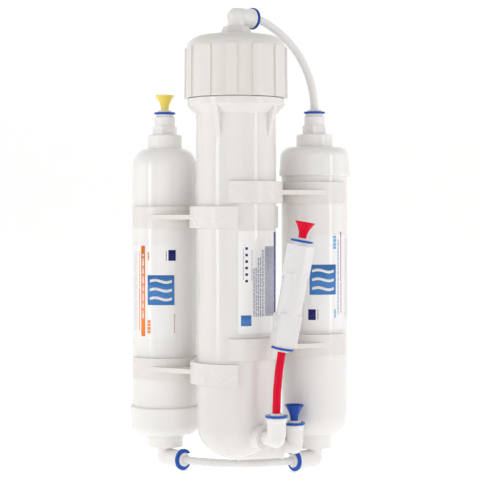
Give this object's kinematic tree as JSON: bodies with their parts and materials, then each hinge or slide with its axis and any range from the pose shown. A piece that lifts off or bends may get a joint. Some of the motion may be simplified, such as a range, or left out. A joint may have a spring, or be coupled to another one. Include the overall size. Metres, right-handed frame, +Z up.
{
  "type": "reverse osmosis unit",
  "caption": "Inline reverse osmosis water filter: a tall membrane housing clipped between two slim cartridges, with push-fit elbows, tubes, a flow restrictor and blanking plugs.",
  "frame": {"origin": "bottom centre of the whole unit's box, under the bottom elbows' lowest point", "axes": "+Z up along the membrane housing and cartridges, -Y towards the front with the flow restrictor, +X to the unit's right"},
  "size_m": [0.1794, 0.1188, 0.3706],
  "materials": {
    "housing_white": "smooth glossy moulded plastic",
    "cap_white": "semi-gloss moulded plastic, slightly greyer",
    "cartridge_white": "glossy moulded plastic",
    "clip_white": "satin moulded plastic",
    "fitting_white": "satin acetal",
    "lock_blue": "glossy blue plastic",
    "plug_yellow": "glossy yellow plastic",
    "plug_red": "glossy red plastic",
    "plug_blue": "glossy blue plastic",
    "tube_white": "waxy polyethylene tube",
    "tube_red": "waxy red polyethylene tube",
    "restrictor_white": "satin acetal",
    "seal_rubber": "black rubber",
    "membrane_wrap": "tape-wrapped membrane",
    "core_plastic": "moulded plastic",
    "sediment_fibre": "melt-blown fibre",
    "carbon": "granular activated carbon",
    "felt": "white felt",
    "label_paper": "glossy printed label"
  },
  "bodies": {
    "root": {"membrane_housing": "housing_white", "cap_o_ring": "seal_rubber", "membrane_element": "membrane_wrap", "permeate_core_tube": "core_plastic", "brine_seal": "seal_rubber", "core_o_rings": "seal_rubber", "left_cartridge_shell": "cartridge_white", "left_cartridge_end_cap": "cartridge_white", "left_sediment_core": "sediment_fibre", "right_cartridge_shell": "cartridge_white", "right_cartridge_end_cap": "cartridge_white", "right_carbon_bed": "carbon", "right_felt_pads": "felt", "right_upper_clip": "clip_white", "left_upper_clip": "clip_white", "right_lower_clip": "clip_white", "left_lower_clip": "clip_white", "feed_fitting": "fitting_white", "right_top_fitting": "fitting_white", "left_bottom_elbow": "fitting_white", "right_bottom_elbow": "fitting_white", "waste_elbow": "fitting_white", "permeate_elbow": "fitting_white", "feed_collet": "fitting_white", "right_top_collet": "fitting_white", "left_bottom_collet": "fitting_white", "right_bottom_collet": "fitting_white", "waste_collet": "fitting_white", "permeate_collet": "fitting_white", "fixed_port_o_rings": "seal_rubber", "bottom_tube": "tube_white", "left_label": "label_paper", "right_label": "label_paper", "housing_label": "label_paper"},
    "cap_carrier": {"top_elbow": "fitting_white", "top_elbow_collet": "fitting_white", "top_elbow_o_ring": "seal_rubber", "top_tube": "tube_white"},
    "cap": {"housing_cap": "cap_white"},
    "restrictor": {"waste_tube": "tube_red", "restrictor_body": "restrictor_white", "restrictor_insert": "restrictor_white", "restrictor_inlet_collet": "fitting_white", "restrictor_outlet_collet": "fitting_white", "restrictor_o_rings": "seal_rubber"},
    "feed_plug": {"feed_plug": "plug_yellow"},
    "permeate_plug": {"permeate_plug": "plug_blue"},
    "waste_plug": {"waste_plug": "plug_red"},
    "feed_lock": {"feed_lock": "lock_blue"},
    "right_top_lock": {"right_top_lock": "lock_blue"},
    "top_elbow_lock": {"top_elbow_lock": "lock_blue"},
    "left_bottom_lock": {"left_bottom_lock": "lock_blue"},
    "right_bottom_lock": {"right_bottom_lock": "lock_blue"},
    "waste_lock": {"waste_lock": "lock_blue"},
    "permeate_lock": {"permeate_lock": "lock_blue"},
    "restrictor_inlet_lock": {"restrictor_inlet_lock": "lock_blue"},
    "restrictor_outlet_lock": {"restrictor_outlet_lock": "lock_blue"}
  },
  "joints": [
    {"name": "cap_turn", "type": "hinge", "parent": "cap_carrier", "child": "cap", "pos_m": [0, -0.01375, 0.31], "axis": [0, 0, 1], "range_deg": [0, 1260]},
    {"name": "cap_lift", "type": "slide", "parent": "root", "child": "cap_carrier", "axis": [0, 0, 1], "range_m": [0, 0.014]},
    {"name": "restrictor_swivel", "type": "hinge", "parent": "root", "child": "restrictor", "pos_m": [0.03284, -0.04985, 0.0524], "axis": [0, 0, 1], "range_deg": [-100, 45]},
    {"name": "feed_plug_pull", "type": "slide", "parent": "root", "child": "feed_plug", "axis": [0, 0, 1], "range_m": [0, 0.02]},
    {"name": "permeate_plug_pull", "type": "slide", "parent": "root", "child": "permeate_plug", "axis": [0, 0, 1], "range_m": [0, 0.02]},
    {"name": "waste_plug_pull", "type": "slide", "parent": "restrictor", "child": "waste_plug", "axis": [0.1771, 0, 0.9842], "range_m": [0, 0.02]},
    {"name": "feed_lock_slide", "type": "slide", "parent": "root", "child": "feed_lock", "axis": [0, -1, 0], "range_m": [0, 0.014]},
    {"name": "right_top_lock_slide", "type": "slide", "parent": "root", "child": "right_top_lock", "axis": [0, -1, 0], "range_m": [0, 0.014]},
    {"name": "top_elbow_lock_slide", "type": "slide", "parent": "cap_carrier", "child": "top_elbow_lock", "axis": [0.7314, -0.682, 0], "range_m": [0, 0.014]},
    {"name": "left_bottom_lock_slide", "type": "slide", "parent": "root", "child": "left_bottom_lock", "axis": [-0.6428, -0.766, 0], "range_m": [0, 0.014]},
    {"name": "right_bottom_lock_slide", "type": "slide", "parent": "root", "child": "right_bottom_lock", "axis": [0.6428, -0.766, 0], "range_m": [0, 0.014]},
    {"name": "waste_lock_slide", "type": "slide", "parent": "root", "child": "waste_lock", "axis": [0, -1, 0], "range_m": [0, 0.014]},
    {"name": "permeate_lock_slide", "type": "slide", "parent": "root", "child": "permeate_lock", "axis": [0.8988, -0.4384, 0], "range_m": [0, 0.014]},
    {"name": "restrictor_inlet_lock_slide", "type": "slide", "parent": "restrictor", "child": "restrictor_inlet_lock", "axis": [0, -1, 0], "range_m": [0, 0.014]},
    {"name": "restrictor_outlet_lock_slide", "type": "slide", "parent": "restrictor", "child": "restrictor_outlet_lock", "axis": [0, -1, 0], "range_m": [0, 0.014]}
  ],
  "couplings": [
    {"joint": "cap_lift", "follows": "cap_turn", "m_per_rad": 0.000636}
  ]
}
